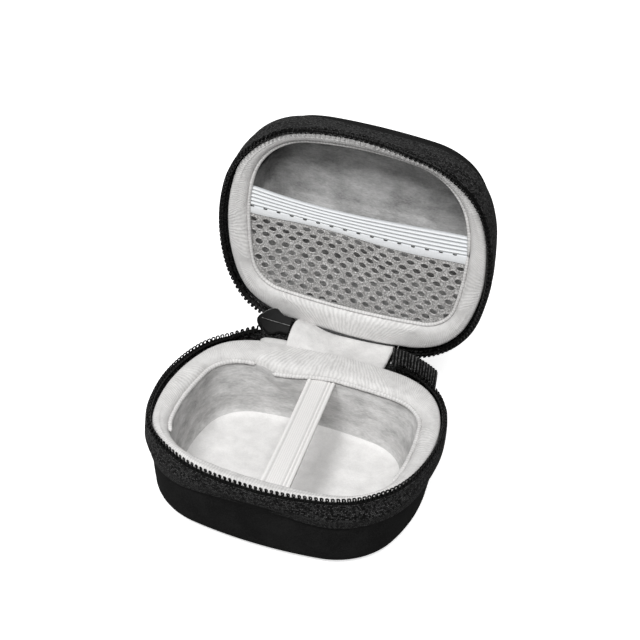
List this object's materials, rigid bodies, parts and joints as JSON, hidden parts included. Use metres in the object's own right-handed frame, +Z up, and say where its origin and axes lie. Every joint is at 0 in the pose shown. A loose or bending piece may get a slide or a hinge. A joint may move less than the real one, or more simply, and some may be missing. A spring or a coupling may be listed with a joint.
{
  "type": "zip case",
  "caption": "Small moulded foam case with rounded oblong halves on a cloth hinge, closed by a coil zip, with a strap in the base and a net pocket in the lid.",
  "frame": {"origin": "centre of the base's flat underside, on the surface that the case rests on", "axes": "+Z up, +Y towards the hinge at the back, +X towards the case's right as seen from the front"},
  "size_m": [0.0836, 0.0972, 0.0936],
  "materials": {
    "cover": "matte",
    "foam": "matte",
    "velvet": "matte",
    "zip_tape": "matte",
    "zip_coil": "gloss",
    "elastic": "matte",
    "net": "matte",
    "webbing": "matte",
    "slider_metal": "satin"
  },
  "bodies": {
    "base": {"base_cover": "cover", "base_foam": "foam", "base_lining": "velvet", "base_lip": "velvet", "base_tape": "zip_tape", "base_coil": "zip_coil", "strap": "elastic", "zip_end_tab": "webbing", "hinge_band": "webbing", "hinge_strip": "velvet"},
    "lid": {"lid_cover": "cover", "lid_foam": "foam", "lid_lining": "velvet", "lid_lip": "velvet", "lid_tape": "zip_tape", "lid_coil": "zip_coil", "pocket_net": "net", "pocket_elastic": "elastic"},
    "zip_end": {"zip_tail": "zip_coil"},
    "slider": {"slider_body": "slider_metal", "slider_bridge": "slider_metal"},
    "pull": {"pull_tab": "slider_metal"}
  },
  "joints": [
    {"name": "lid_hinge", "type": "hinge", "parent": "base", "child": "lid", "pos_m": [0, 0.03675, 0.01995], "axis": [-1, 0, 0], "range_deg": [-87, 0], "deforming": ["hinge_band", "hinge_strip", "zip_end_tab"]},
    {"name": "zip_end_tilt", "type": "hinge", "parent": "base", "child": "zip_end", "pos_m": [0, 0.03675, 0.01995], "axis": [-1, 0, 0], "range_deg": [-43.5, 0]},
    {"name": "slider_travel", "type": "hinge", "parent": "zip_end", "child": "slider", "pos_m": [-0.01526, 0.02098, 0.04147], "axis": [0, -0.6884, -0.7254], "range_deg": [-59.5, 0], "deforming": ["base_coil", "lid_coil"]},
    {"name": "pull_swing", "type": "hinge", "parent": "slider", "child": "pull", "pos_m": [-0.02221, 0.03994, 0.02347], "axis": [0, 0.6884, 0.7254], "range_deg": [-70, 99]}
  ],
  "couplings": [
    {"joint": "zip_end_tilt", "follows": "lid_hinge", "ratio": 0.5},
    {"joint": "slider_travel", "follows": "lid_hinge", "ratio": 0.6835}
  ]
}
